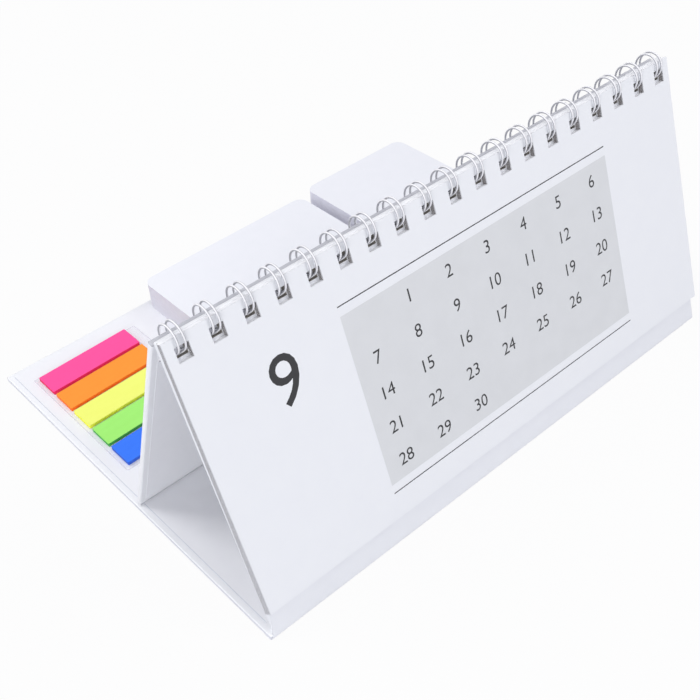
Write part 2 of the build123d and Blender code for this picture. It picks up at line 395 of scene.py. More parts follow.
# %% [markdown]
# ## Punched slabs
#
# Boards and sheets are all the same thing: a rectangle with a thickness and a row of holes. It
# could be a cube with boolean cuts, but booleans leave long thin faces. Here a grid of lines is
# laid so that some lines run along the holes' edges. The cells in the holes are left out, and a
# wall closes every edge between a kept cell and a missing one. Near a rounded border the grid
# lines follow a quarter circle, and at a corner the square of lines is pressed into a disc.

# %% Punched slab
least_gap = 0.05


def grid_lines(low, high, edge_low, edge_high, inner):
    """Lines from low to high: quarter-circle steps at a rounded border, inner lines between."""
    steps = 1 - np.sin(np.radians((90, 67.5, 45, 22.5, 0)))
    start = low + edge_low * steps
    end = high - edge_high * steps
    inner = np.asarray(inner, dtype=float)
    inner = inner[(inner > start.max() + least_gap) & (inner < end.min() - least_gap)]
    return np.unique(np.round(np.concatenate((start, inner, end)), 4))


def punched_slab(xs, ys, bottom, top, keep, edge=0.0, rounded=(1, 1, 1, 1)):
    """Two grids, one above the other, joined by walls wherever a kept cell meets a missing one.

    Within the edge radius e of a rounded border, (dx, dy) from the flat part becomes
    (dx * sqrt(1 - dy^2 / 2e^2), dy * sqrt(1 - dx^2 / 2e^2)), and the surface drops by
    e - sqrt(e^2 - dx^2 - dy^2). Gives points, faces, and a kind for each face: 0 for the two
    grids, 1 for an outer end, 2 for a hole's wall that looks to the left, 3 for every other wall.
    """
    e = max(edge, 1e-9)
    left, right, low, high = (e * flag for flag in rounded)
    x, y = np.meshgrid(xs, ys, indexing="ij")
    flat_x = np.clip(x, xs[0] + left, xs[-1] - right) if edge else x
    flat_y = np.clip(y, ys[0] + low, ys[-1] - high) if edge else y
    dx = x - flat_x
    dy = y - flat_y
    round_x = dx * np.sqrt(1 - dy**2 / (2 * e**2))
    round_y = dy * np.sqrt(1 - dx**2 / (2 * e**2))
    drop = e - np.sqrt(np.maximum(e**2 - round_x**2 - round_y**2, 0))
    upper = np.stack((flat_x + round_x, flat_y + round_y, top - drop), axis=-1).reshape(-1, 3)
    lower = np.stack((flat_x + round_x, flat_y + round_y, bottom + drop), axis=-1).reshape(-1, 3)

    count = x.size
    index = np.arange(count).reshape(x.shape)
    i, j = np.nonzero(keep)
    face = np.stack((index[i, j], index[i + 1, j], index[i + 1, j + 1], index[i, j + 1]), axis=-1)
    parts = [face, face[:, ::-1] + count]
    kinds = [np.zeros(2 * len(face), dtype=int)]
    around = np.pad(keep, 1)
    for side in (0, 1):
        before = around[:-1, 1:-1] if side == 0 else around[1:-1, :-1]
        after = around[1:, 1:-1] if side == 0 else around[1:-1, 1:]
        for wall, flip, hole in ((after & ~before, side == 0, 2), (before & ~after, side == 1, 3)):
            i, j = np.nonzero(wall)
            a = index[i, j]
            b = index[i, j + 1] if side == 0 else index[i + 1, j]
            if flip:
                a, b = b, a
            parts.append(np.stack((a + count, b + count, b, a), axis=-1))
            outer = (i == 0) | (i == len(xs) - 1)
            kinds.append(np.where(outer, 1, hole) if side == 0 else np.full(len(i), 3))
    faces = np.concatenate(parts)
    kinds = np.concatenate(kinds)
    used, faces = np.unique(faces, return_inverse=True)
    points = np.concatenate((upper, lower))[used]
    return points, faces.reshape(-1, 4), kinds


print(f"slabs are drawn on grids, with lines at least {least_gap} mm inside their borders")

# %% [markdown]
# ## The row of holes
#
# Wire of this kind has two loops to the inch, so its holes are 12.7 mm apart. The edges of the
# holes join the grid lines, and the cells between them are punched out.

# %% Row of holes
def hole_lines(xs_middle, width):
    """The left and right edge of every hole."""
    return np.concatenate((xs_middle - width / 2, xs_middle + width / 2))


def punch(xs, ys, xs_middle, width, low, high):
    """True for each grid cell that stays: those whose middle lies in no hole."""
    x = (xs[:-1] + xs[1:]) / 2
    y = (ys[:-1] + ys[1:]) / 2
    in_x = (np.abs(x[:, None] - xs_middle[None, :]) < width / 2).any(axis=1)
    in_y = (y > low) & (y < high)
    return ~(in_x[:, None] & in_y[None, :])


hole_pitch = 12.7
hole_count = 19
binding_x = 1.075
hole_x = binding_x + (np.arange(hole_count) - (hole_count - 1) / 2) * hole_pitch
print(f"{hole_count} holes from x {hole_x[0]:.1f} to {hole_x[-1]:.1f} mm")

# %% [markdown]
# ## Covered boards: the base
#
# Each board is greyboard wrapped in cover paper, so its edges are softly round, about half a
# millimetre. The base reaches forward to the fold at its left corner, beside the panel's end, and
# its sides are painted a little grey, a painted shade. Lines 12 mm apart keep the faces of so
# wide a board from growing long and thin.

# %% Base cover
edge = 0.5
slack = 0.01
line_step = 12.0
board_lines = np.arange(-200, 200, line_step)

front_inset = 0.25
tab_overlap = 0.3
base_low, base_high = reach("base_cover", 0)
base_front = reach("front_fold", 1)[0] + front_inset
base_step, base_back = reach("base_cover", 1)
corner_right = reach("front_cover", 0)[0] + tab_overlap
xs = grid_lines(base_low, base_high, edge, edge, np.append(board_lines, corner_right))
ys = grid_lines(base_front, base_back, edge, edge, np.append(board_lines, base_step))
keep = ~((xs[:-1, None] + slack > corner_right) & (ys[None, 1:] - slack < base_step))
points, faces, kinds = punched_slab(xs, ys, 0, board, keep, edge)
# The lower part of the base's sides, and its bottom, get the painted side shade.
side_shade_below = board - 0.6 * edge
at_side = points[faces, 2].mean(axis=1) < side_shade_below
base_cover = new_piece(
    "base_cover_paper", on_plane(points, "base"), faces.tolist(),
    [cover_paper, shaded_side_paper], at_side, "base", ["base_cover"],
)
print(f"{base_cover.name}: {base_high - base_low:.1f} by {base_back - base_front:.1f} mm")

# %% [markdown]
# ## The front panel's cover
#
# The panel stands on the fold, so its foot isn't rounded. Its holes are smaller than the sheets'
# and sit higher, which shows as a white step at the foot of each hole. In the holes the paper's
# cut stands a hair back from the greyboard. The face is painted a little darker than the top
# edge, a painted shade, and is a little rougher.

# %% Panel cover
hair = 0.05
panel_low, panel_high = reach("front_cover", 0)
panel_foot = 1.5
panel_top = 114.4
panel_hole = (107.1 - hair, 111.1 + hair)
panel_hole_width = 4.5 + 2 * hair
panel_across = np.append(board_lines, hole_lines(hole_x, panel_hole_width))
panel_climb = np.append(np.arange(6, 100, line_step), panel_hole)
xs = grid_lines(panel_low, panel_high, edge, edge, panel_across)
ys = grid_lines(panel_foot, panel_top, 0, edge, panel_climb)
keep = punch(xs, ys, hole_x, panel_hole_width, *panel_hole)
points, faces, kinds = punched_slab(xs, ys, -board, 0, keep, edge, (1, 1, 0, 1))
# The panel's face gets the painted shade; its top edge keeps the plain cover paper.
at_top = points[faces, 1].mean(axis=1) > panel_top - edge
panel_cover = new_piece(
    "front_cover_paper", on_plane(points, "panel"), faces.tolist(),
    [shaded_panel_paper, cover_paper], at_top, "front_panel", ["front_cover"],
)
print(f"{panel_cover.name}: {panel_high - panel_low:.1f} mm wide, {panel_top} mm up the slope")

# %% [markdown]
# ## The rear wall's cover
#
# The wall hangs behind the wire and stands on the base. It isn't cut quite square, so its left
# end spreads towards the foot, and its paper is painted grey along the top and the foot, a
# painted shade for the crevice behind the panel and the contact at the base. The greyboard of
# all three boards stays as the CAD solid and only gets its material.

# %% Wall cover
wall_low, wall_high = reach("rear_cover", 0)
foot_spread = 1.2


def spread(points):
    """Slides a point left by the spread times its share down and its share to the left."""
    down = 1 - points[:, 1] / wall_height
    leftness = (wall_high - points[:, 0]) / (wall_high - wall_low)
    moved = points.copy()
    moved[:, 0] -= foot_spread * down * leftness
    return moved


hole_width = 5.3
half_hole = 2.55
wall_hole_web = 1.9
wall_hole_middle = wall_height - wall_hole_web - half_hole
wall_hole = (wall_hole_middle - half_hole - hair, wall_hole_middle + half_hole + hair)
wall_hole_width = hole_width + 2 * hair
wall_across = np.append(board_lines, hole_lines(hole_x, wall_hole_width))
wall_climb = np.append(np.arange(6, 96, line_step), wall_hole)
xs = grid_lines(wall_low, wall_high, edge, edge, wall_across)
ys = grid_lines(0, wall_height, edge, edge, wall_climb)
keep = punch(xs, ys, hole_x, wall_hole_width, *wall_hole)
points, faces, kinds = punched_slab(xs, ys, 0, board, keep, edge)
# The wall's top and foot get the painted shade.
middle = points[faces, 1].mean(axis=1)
at_rim = np.abs(middle - wall_height / 2) > wall_height / 2 - edge
wall_cover = new_piece(
    "rear_cover_paper", on_plane(spread(points), "wall"), faces.tolist(),
    [cover_paper, shaded_rim_paper], at_rim, "rear_wall", ["rear_cover"],
)
for name in ("base_board", "front_board", "rear_board"):
    frame["nodes"][name].data.materials.clear()
    frame["nodes"][name].data.materials.append(greyboard)
print(f"{wall_cover.name}: {wall_high - wall_low:.1f} by {wall_height:.1f} mm")

# %% [markdown]
# ## Linings
#
# A lining is one sheet of paper glued over the board's turned-in rim, and it stops 2.5 mm short
# of the edge. On the base, a fine grey line along its left and right ends is the painted shadow
# of its cut edge; on the panel, inside the tent, its cut edge is painted grey round every hole, a
# painted shade.

# %% Lining sheets
margin = 2.5
shadow_width = 0.25
inner = np.append(board_lines, (base_low + margin + shadow_width, base_high - margin - shadow_width))
xs = grid_lines(base_low + margin, base_high - margin, 0, 0, inner)
ys = grid_lines(base_step + margin, base_back - margin, 0, 0, board_lines)
keep = np.ones((len(xs) - 1, len(ys) - 1), dtype=bool)
points, faces, kinds = punched_slab(xs, ys, board, board + lining, keep)
# Faces within that width of the lining's ends carry the painted shadow of its cut edge.
middle = points[faces].mean(axis=1)[:, 0]
to_end = np.minimum(middle - xs[0], xs[-1] - middle)
base_lining = new_piece(
    "base_lining_paper", on_plane(points, "base"), faces.tolist(),
    [lining_paper, painted_edge_shadow], to_end < shadow_width, "base", ["base_lining"],
)

xs = grid_lines(panel_low + margin, panel_high - margin, 0, 0, panel_across)
ys = grid_lines(panel_foot + margin, panel_top - margin, 0, 0, panel_climb)
keep = punch(xs, ys, hole_x, panel_hole_width, *panel_hole)
# Its cut walls carry the painted shade of a stack's edge.
points, faces, kinds = punched_slab(xs, ys, -board - lining, -board, keep)
panel_lining = new_piece(
    "front_lining_paper", on_plane(points, "panel"), faces.tolist(),
    [lining_paper, shaded_sheet_edge], kinds > 0, "front_panel", ["front_lining"],
)

xs = grid_lines(wall_low + margin, wall_high - margin, 0, 0, wall_across)
ys = grid_lines(margin, wall_height - margin, 0, 0, wall_climb)
keep = punch(xs, ys, hole_x, wall_hole_width, *wall_hole)
points, faces, kinds = punched_slab(xs, ys, board, board + lining, keep)
wall_lining = new_piece(
    "rear_lining_paper", on_plane(spread(points), "wall"), faces.tolist(),
    [lining_paper], np.zeros(len(faces)), "rear_wall", ["rear_lining"],
)
print("linings:", base_lining.name, panel_lining.name, wall_lining.name)

# %% [markdown]
# ## The paper fold
#
# Between base and panel the cover paper bends round the front edge. It is a thin strip whose
# profile is carried along X, and it narrows from the base's width to the panel's as it climbs,
# so its left edge draws the soft curve at the front corner. It is the hinge itself, and is tied
# to neither body.

# %% Fold strip
fold_radius = 0.95
fold_paper = 0.15
flap_top = 10.0
flap_proud = 0.02
flap_inset = 0.4
fold_steps = 13
flat_steps = 6
fold_columns = 60
setback = fold_radius * np.tan((np.pi - slope) / 2)
turn = np.linspace(radians(270), radians(90) + slope, fold_steps)


def fold_profile(depth):
    """Points (y, z) at a depth below the outer face: flat, round the arc, then up the panel."""
    arc_y = fold_y + setback + (fold_radius - depth) * np.cos(turn)
    arc_z = fold_radius + (fold_radius - depth) * np.sin(turn)
    flat = np.linspace(base_step, arc_y[0], flat_steps)[:-1]
    climb = np.linspace(setback, flap_top, fold_steps)[1:]
    face = depth - flap_proud
    up_y = fold_y + climb * cos(slope) + face * sin(slope)
    up_z = climb * sin(slope) - face * cos(slope)
    y = np.concatenate((flat, arc_y, up_y))
    z = np.concatenate((0 * flat + depth, arc_z, up_z))
    return np.stack((y, z), axis=-1)


ring = np.concatenate((fold_profile(0), fold_profile(fold_paper)[::-1]))
height = np.clip(ring[:, 1] / (flap_top * sin(slope)), 0, 1)
narrow = 1 - (1 - height) ** 2
flap_left = base_low + (panel_low + flap_inset - base_low) * narrow
flap_right = base_high + (panel_high - flap_inset - base_high) * narrow
across = np.linspace(0, 1, fold_columns)[:, None]
points = np.empty((len(across), len(ring), 3))
points[:, :, 0] = flap_left + (flap_right - flap_left) * across
points[:, :, 1:] = ring
faces = tube_faces(points)
# The fold strip carries the same painted shade as the panel's face.
fold_strip = new_piece(
    "front_fold_paper", points.reshape(-1, 3) * mm, faces,
    [shaded_panel_paper], np.zeros(len(faces)), None, ["front_fold"],
)
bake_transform(fold_strip)
print(f"fold strip {flap_left[0]:.1f} to {flap_right[0]:.1f} mm along X, {flap_top} mm up the panel")

# %% [markdown]
# ## Calendar sheets
#
# Thirteen sheets hang on the wire. A stack never lies quite square: here the back sheets turn a
# little about the wire, so their left edges fan out towards the bottom. Each sheet is its own
# punched slab. Its left and right ends are painted grey, the wall of each hole that looks left is
# painted dark, both painted shade, and its other cuts are painted white, a painted light.

# %% Sheets
sheet_low, sheet_high = reach("sheet_01", 0)
sheet_foot = 11.4
sheet_top = 114.1
sheet_count = 13
sheet_thickness = 0.12
sheet_pitch = 0.13
first_lift = 0.05
top_lift = 0.24
sheet_hole = (106.0, 111.1)
fan_top = 0.1
fan_foot = 0.9


def sheet_depth(number):
    """Height of a sheet's back above the panel: one pitch for each sheet behind it.

    Sheet 13 lies on the panel, and sheet 1 lies a little clear of the others on top.
    """
    return first_lift + (sheet_count - number) * sheet_pitch + (top_lift if number == 1 else 0)


def fanned(points, number):
    """Slides a sheet left, more at its foot than at the wire, and more the further back it lies."""
    back = (number - 1) / (sheet_count - 1)
    down = (sheet_top - points[:, 1]) / (sheet_top - sheet_foot)
    moved = points.copy()
    moved[:, 0] -= back * (fan_top + (fan_foot - fan_top) * down)
    return moved


sheet_across = np.append(board_lines, hole_lines(hole_x, hole_width))
sheet_climb = np.append(np.arange(20, 104, line_step), sheet_hole)
xs = grid_lines(sheet_low, sheet_high, 0, 0, sheet_across)
ys = grid_lines(sheet_foot, sheet_top, 0, 0, sheet_climb)
keep = punch(xs, ys, hole_x, hole_width, *sheet_hole)
# Face, then painted shade on the ends and on hole walls that look left, then painted light on the other
# cuts.
sheet_skins = [sheet_paper, shaded_sheet_edge, shaded_hole_wall, lit_cut_edge]
for number in range(sheet_count, 0, -1):
    depth = sheet_depth(number)
    points, faces, kinds = punched_slab(xs, ys, depth, depth + sheet_thickness, keep)
    body = "top_sheet" if number == 1 else "front_panel"
    node = f"sheet_{number:02d}"
    new_piece(
        f"calendar_{node}", on_plane(fanned(points, number), "panel"), faces.tolist(), sheet_skins,
        kinds, body, [node],
    )
print(f"{sheet_count} sheets, each of {len(faces)} faces")

# %% [markdown]
# ## Page print
#
# The page carries a plain month: a pale grey block, two fine rules, and the days as numbers.
# Ink has no thickness to speak of, so each print is a flat mesh a hundredth of a millimetre or
# two above its sheet. The numbers are text objects turned to mesh first and placed afterwards.

# %% Ink and numbers
# Offset ink: a dense near-black with a slight unevenness.
dark_ink = paper("offset ink", "#2C2C2F", "#363639", 0.5, 2.0, 0.5, 0.005)
# The same ink thinned to pale grey, a quiet ground for the numbers.
pale_ink = paper("pale grey offset ink", "#E0E2E4", "#D8DADC", 0.6, 9.0, 0.6, 0.005)


def number_shape(text, size):
    """A number as flat points and faces, from a text object that is turned to mesh."""
    words = bpy.data.curves.new("number", "FONT")
    words.body = text
    words.size = size
    words.align_x = "CENTER"
    words.align_y = "CENTER"
    words.resolution_u = 4
    holder = bpy.data.objects.new("number", words)
    bpy.context.scene.collection.objects.link(holder)
    evaluated = holder.evaluated_get(bpy.context.evaluated_depsgraph_get())
    shape = bpy.data.meshes.new_from_object(evaluated)
    points = np.empty(len(shape.vertices) * 3)
    shape.vertices.foreach_get("co", points)
    faces = [list(face.vertices) for face in shape.polygons]
    bpy.data.objects.remove(holder)
    bpy.data.curves.remove(words)
    bpy.data.meshes.remove(shape)
    return points.reshape(-1, 3), faces


def bar(left, right, low, high):
    """A flat rectangle as points and faces."""
    corners = ((left, low, 0), (right, low, 0), (right, high, 0), (left, high, 0))
    return np.array(corners, dtype=float), [[0, 1, 2, 3]]


def joined(shapes):
    """Several flat shapes as one: points one after another, and faces counted on."""
    points = np.concatenate([shape for shape, _ in shapes])
    starts = np.cumsum([0] + [len(shape) for shape, _ in shapes[:-1]])
    faces = []
    for start, (_, own) in zip(starts.tolist(), shapes):
        faces += [[corner + start for corner in face] for face in own]
    return points, faces


print("inks:", dark_ink.name, "and", pale_ink.name)

# %% [markdown]
# ## A month on a page
#
# The days stand on the block in seven columns and five rows, and the month's own number stands
# large beside it. The print slides with its sheet where the stack fans out. The sheet below gets
# the next month, which shows when the top sheet is turned.

# %% Month print
block = (-58.0, 78.0, 25.0, 92.0)
rule_near = 3.2
rule_far = 3.6
week_days = 7
weeks = 5
day_size = 7.0
month_size = 26.0
month_beside = 26.0
month_below = 10.0
block_lift = 0.01
ink_lift = 0.02


def month_print(number, month, first_column, days, body):
    """Lays the block, the rules, the month's number and its days on one sheet."""
    front = sheet_depth(number) + sheet_thickness
    left, right, low, high = block
    shapes = [
        bar(left, right, high + rule_near, high + rule_far),
        bar(left, right, low - rule_far, low - rule_near),
    ]
    day = np.arange(days) + first_column
    column = left + (right - left) * (0.5 + day % week_days) / week_days
    row = high - (high - low) * (0.5 + day // week_days) / weeks
    for i in range(days):
        points, faces = number_shape(str(i + 1), day_size)
        shapes.append((points + np.array((column[i], row[i], 0)), faces))
    points, faces = number_shape(str(month), month_size)
    shapes.append((points + np.array((left - month_beside, high - month_below, 0)), faces))
    for name, (points, faces), ink, lift in (
        ("block", bar(*block), pale_ink, block_lift),
        ("days", joined(shapes), dark_ink, ink_lift),
    ):
        placed = fanned(points + np.array((0, 0, front + lift)), number)
        new_piece(
            f"sheet_{number:02d}_{name}", on_plane(placed, "panel"), faces,
            [ink], np.zeros(len(faces)), body,
        )
    print(f"sheet {number}: month {month}, {days} days")


month_print(1, month=9, first_column=1, days=30, body="top_sheet")
month_print(2, month=10, first_column=3, days=31, body="front_panel")

# %% [markdown]
# ## Twin-loop wire
#
# The wire is one length: a bridge behind the stack, a strand round the ring, a tight tip, the
# strand back, and the next bridge. The path is written as three lists, place along X, angle on
# the ring, and distance ahead of the ring along its tangent. The ring is just wide enough to let
# the stack of sheets turn on it.

# %% Wire path
wire_radius = 0.4
ring_air = 0.09
ring_behind_face = 2.0
stack_depth = 1.97
ring_above_hole = 1.8
ring_radius = wire_radius + ring_air + hypot(ring_behind_face + stack_depth, ring_above_hole)
half = 1.3
bend = 1.2
bridge_stop = 4.2
bridge_angle = radians(-98.2)
tip_angle = radians(232.0)
bend_start = bridge_angle + bend / ring_radius
tip_start = tip_angle - half / ring_radius
bend_steps = 7
tip_steps = 15
strand_steps = 49
quarter = np.linspace(0, np.pi / 2, bend_steps)
half_turn = np.linspace(0, np.pi, tip_steps)
sweep = np.linspace(bend_start, tip_start, strand_steps)

bridge_x = np.array((-hole_pitch / 2, -bridge_stop))
bend_x = -half - bend + bend * np.sin(quarter)
strand_x = np.concatenate((bridge_x, bend_x, 0 * sweep[1:] - half))
strand_angle = np.concatenate((np.full(len(bridge_x) + len(bend_x), bend_start), sweep[1:]))
strand_ahead = np.concatenate((0 * bridge_x - bend, -bend * np.cos(quarter), 0 * sweep[1:]))
tip_x = -half * np.cos(half_turn[1:-1])
tip_ahead = half * np.sin(half_turn[1:-1])
loop_x = np.concatenate((strand_x, tip_x, -strand_x[:0:-1]))
loop_angle = np.concatenate((strand_angle, np.full(len(tip_x), tip_start), strand_angle[:0:-1]))
loop_ahead = np.concatenate((strand_ahead, tip_ahead, strand_ahead[:0:-1]))

path_x = np.append((hole_x[:, None] + loop_x).ravel(), hole_x[-1] + hole_pitch / 2)
angle = np.append(np.tile(loop_angle, hole_count), bend_start)
ahead = np.append(np.tile(loop_ahead, hole_count), -bend)
radial = np.stack((0 * angle, np.cos(angle), np.sin(angle)), axis=-1)
tangent = np.stack((0 * angle, -np.sin(angle), np.cos(angle)), axis=-1)
path = np.stack((path_x, 0 * path_x + ring_y, 0 * path_x + ring_z), axis=-1)
path = path + ring_radius * radial + ahead[:, None] * tangent
length = np.linalg.norm(np.diff(path, axis=0), axis=1).sum()
print(f"wire {length:.0f} mm long, ring radius {ring_radius:.2f} mm")

# %% [markdown]
# ## The wire's round section
#
# A round section is carried along the path. The ring's own radius is square to the path
# everywhere, so it serves as the section's frame. The attribute flank says how far round the
# section a point lies: 0 where it looks straight out of the ring or into it, 1 at its sides,
# where the coat paints shade. That band of painted shade is turned a little, the other way on the
# strand that comes back.

# %% Wire section
shade_turn = radians(25)
section_steps = 12
step = np.gradient(path, axis=0)
step /= np.linalg.norm(step, axis=1)[:, None]
across = np.cross(step, radial)
around = np.linspace(0, 2 * np.pi, section_steps, endpoint=False)
outward = np.cos(around)[None, :, None] * radial[:, None, :]
sideways = np.sin(around)[None, :, None] * across[:, None, :]
points = path[:, None, :] + wire_radius * (outward + sideways)
index = np.arange(points[:, :, 0].size).reshape(len(path), len(around))
after = np.roll(index, -1, axis=1)
faces = np.stack((index[:-1], index[1:], after[1:], after[:-1]), axis=-1).reshape(-1, 4).tolist()
faces += [index[0].tolist(), index[-1, ::-1].tolist()]
wire = new_piece(
    "twin_loop_wire", points.reshape(-1, 3) * mm, faces,
    [wire_coat], np.zeros(len(faces)), "front_panel", ["wire_binding"],
)
flank = wire.data.attributes.new("flank", "FLOAT", "POINT")
# Flank values, where the coat's painted shade greys the strand.
flank.data.foreach_set("value", np.abs(np.sin(around + shade_turn * across[:, :1])).ravel())
print(f"{wire.name}: {len(path)} sections of {section_steps} points")

# %% [markdown]
# ## Stacks of leaves
#
# A pad is a stack of leaves with round corners. Its outline is a path of four arcs, and a
# profile is carried round it: every few leaves stand a little in or out, which draws the fine
# lines on a pad's side. A real leaf is 0.1 mm thick, finer than a pixel, so the lines are drawn
# about 0.5 mm apart.

# %% Leaf helpers
corner_steps = 9
leaf_share = 0.8
groove_share = 0.9


def carried_round(width, depth, corner, inset, height, shift):
    """Corner centres plus (corner - inset) times the arc's directions, one row for a profile step.

    inset and height give the profile, shift slides each row by (x, y). Gives points and faces.
    """
    arc = np.linspace(0, np.pi / 2, corner_steps)
    angle = (arc[None, :] + np.arange(4)[:, None] * np.pi / 2).ravel()
    sign_x = np.repeat((1, -1, -1, 1), len(arc))
    sign_y = np.repeat((1, 1, -1, -1), len(arc))
    centre = np.stack((sign_x * (width / 2 - corner), sign_y * (depth / 2 - corner)), axis=-1)
    direction = np.stack((np.cos(angle), np.sin(angle)), axis=-1)
    plan = centre[None] + (corner - inset)[:, None, None] * direction[None] + shift[:, None, :]
    up = np.broadcast_to(height[:, None, None], (*plan.shape[:2], 1))
    points = np.concatenate((plan, up), axis=-1)
    return points.reshape(-1, 3), tube_faces(points)


def leaf_profile(bottom, top, leaf, unevenness, seed):
    """Three steps for a drawn leaf: out, out, and a fine groove in; chance sets each leaf in."""
    count = max(int(round((top - bottom) / leaf)), 1)
    chance = np.random.default_rng(seed)
    low = bottom + (top - bottom) * np.arange(count) / count
    tall = (top - bottom) / count
    height = np.stack((low, low + leaf_share * tall, low + groove_share * tall), axis=-1).ravel()
    own = chance.uniform(0, unevenness, count)
    inset = np.stack((own, own, own + unevenness), axis=-1).ravel()
    shift = np.repeat(chance.uniform(-0.5, 0.5, (count, 2)) * unevenness, 3, axis=0)
    height = np.append(height, top)
    inset = np.append(inset, 0.0)
    shift = np.append(shift, [[0.0, 0.0]], axis=0)
    return inset, height, shift


rim_inset = 0.03
rim_low = 0.02
rim_high = 0.03


def top_leaf(width, depth, corner, bottom, top):
    """One loose leaf: the outline carried up in four steps, drawn in a hair at both rims."""
    height = np.array((bottom, bottom + rim_low, top - rim_high, top))
    inset = np.array((rim_inset, 0.0, 0.0, rim_inset))
    return carried_round(width, depth, corner, inset, height, np.zeros((4, 2)))


def laid_at(points, x, y):
    """Moves a flat drawing to its place on the base."""
    return on_plane(points + np.array((x, y, 0)), "base")


def top_only(faces):
    """1 for the last face, which is a pad's top leaf, and 0 for its sides and bottom."""
    return np.arange(len(faces)) == len(faces) - 1


print(f"a leaf fills {leaf_share:.0%} of its height, and a groove the rest")

# %% [markdown]
# ## Note pads
#
# The top note of each pad lifts, so it is a loose leaf of its own. The pad's top face is note
# paper too, because it shows once the note is up; its sides are the cut edges of its leaves, with
# painted shade on the large pad and painted light on the small one.

# %% Pads and notes
pad_corner = 5.0
pad_leaf = 0.5
pad_unevenness = 0.06
for pad, seed in (("large", 3), ("small", 5)):
    (x0, x1), (y0, y1), (z0, z1) = (reach(f"{pad}_pad", axis) for axis in range(3))
    note_top = reach(f"{pad}_top_note", 2)[1]
    middle = ((x0 + x1) / 2, (y0 + y1) / 2)
    profile = leaf_profile(z0, z1, pad_leaf, pad_unevenness, seed)
    points, faces = carried_round(x1 - x0, y1 - y0, pad_corner, *profile)
    # The pad's sides carry the painted shade or painted light of its edge paper.
    new_piece(
        f"{pad}_note_pad", laid_at(points, *middle), faces,
        [shaded_and_lit_note_edges[pad], note_paper], top_only(faces), "base", [f"{pad}_pad"],
    )
    points, faces = top_leaf(x1 - x0, y1 - y0, pad_corner, z1, note_top)
    new_piece(
        f"{pad}_note", laid_at(points, *middle), faces,
        [note_paper], np.zeros(len(faces)), f"{pad}_note", [f"{pad}_top_note"],
    )
    print(f"{pad} pad {x1 - x0:.1f} by {y1 - y0:.1f} by {note_top - z0:.1f} mm")

# %% [markdown]
# ## The flags' film
#
# One clear film carries all five flag pads. It is stamped from a sheet, so its corners are nearly
# square and its upper rim slopes a little; only that rim gets the cut edge's painted highlight.

# %% Film under the flags
(x0, x1), (y0, y1), (z0, z1) = (reach("flag_carrier", axis) for axis in range(3))
film_corner = 0.8
film_height = np.array((z0 + 0.01, z0 + 0.04, z1 - 0.04, z1, z1))
film_inset = np.array((0.03, 0.0, 0.0, 0.1, 0.45))
points, faces = carried_round(
    x1 - x0, y1 - y0, film_corner, film_inset, film_height, np.zeros((len(film_inset), 2))
)
# The film's sides carry the painted highlight of its cut edge.
rim = np.append(np.ones(len(faces) - 2), (0, 0))
new_piece(
    "flag_film", laid_at(points, (x0 + x1) / 2, (y0 + y1) / 2), faces,
    [film, film_rim_highlight], rim, "base", ["flag_carrier"],
)
print(f"film {x1 - x0:.1f} by {y1 - y0:.1f} mm")

# %% [markdown]
# ## Page flags
#
# Five little pads of dyed strips lie on the film. Their cut sides are deeper in colour than their
# faces, and painted darker as shade, so sides and faces get materials of their own. They were
# stuck down by hand, so they all lie a degree or so out of square.

# %% Flags
flag_turn = 1.4
flag_corner = 0.2
flag_leaf = 0.4
flag_unevenness = 0.05
first_seed = 20


def out_of_square(points, left):
    """Turns a flag about its left end by a small angle a: y grows by (x - left) times tan a."""
    turned = points.copy()
    turned[:, 1] += (points[:, 0] - left) * np.tan(radians(flag_turn))
    return turned


for seed, colour in enumerate(flag_tops, first_seed):
    (x0, x1), (y0, y1), (z0, z1) = (reach(f"flag_pad_{colour}", axis) for axis in range(3))
    top = reach(f"flag_top_{colour}", 2)[1]
    middle = ((x0 + x1) / 2, (y0 + y1) / 2)
    profile = leaf_profile(z0, z1, flag_leaf, flag_unevenness, seed)
    points, faces = carried_round(x1 - x0, y1 - y0, flag_corner, *profile)
    # Its cut sides carry painted shade; its top face is the plain stock.
    new_piece(
        f"{colour}_flag_pad", laid_at(out_of_square(points, x0 - middle[0]), *middle), faces,
        [shaded_flag_cuts[colour], flag_tops[colour]], top_only(faces),
        "base", [f"flag_pad_{colour}"],
    )
    points, faces = top_leaf(x1 - x0, y1 - y0, flag_corner, z1, top)
    new_piece(
        f"{colour}_flag", laid_at(out_of_square(points, x0 - middle[0]), *middle), faces,
        [flag_tops[colour]], np.zeros(len(faces)),
        f"{colour}_flag", [f"flag_top_{colour}"],
    )
print(f"{len(flag_tops)} flags laid on their film, {flag_turn} degrees out of square")

# %% [markdown]
# ## Floor
#
# The object was shown on a sweep of white paper, lit until it looks like nothing at all. The
# floor here is plain white to the eye, in mirrors and through the film, and a diffuse grey to
# every other ray. A small share of the diffuse is left in, so that the soft shadow stays.

# %% Floor
white_share = 0.95
full_white = (1, 1, 1, 1)


def seen_directly(tree):
    """The largest of three flags: 1 for camera, mirror and see-through rays, 0 for the rest."""
    ray = add_node(tree, "ShaderNodeLightPath")
    largest = ray.outputs["Is Camera Ray"]
    for flag in ("Is Glossy Ray", "Is Transmission Ray"):
        larger = add_node(
            tree, "ShaderNodeMath", {0: largest, 1: ray.outputs[flag]}, operation="MAXIMUM"
        )
        largest = larger.outputs[0]
    return largest


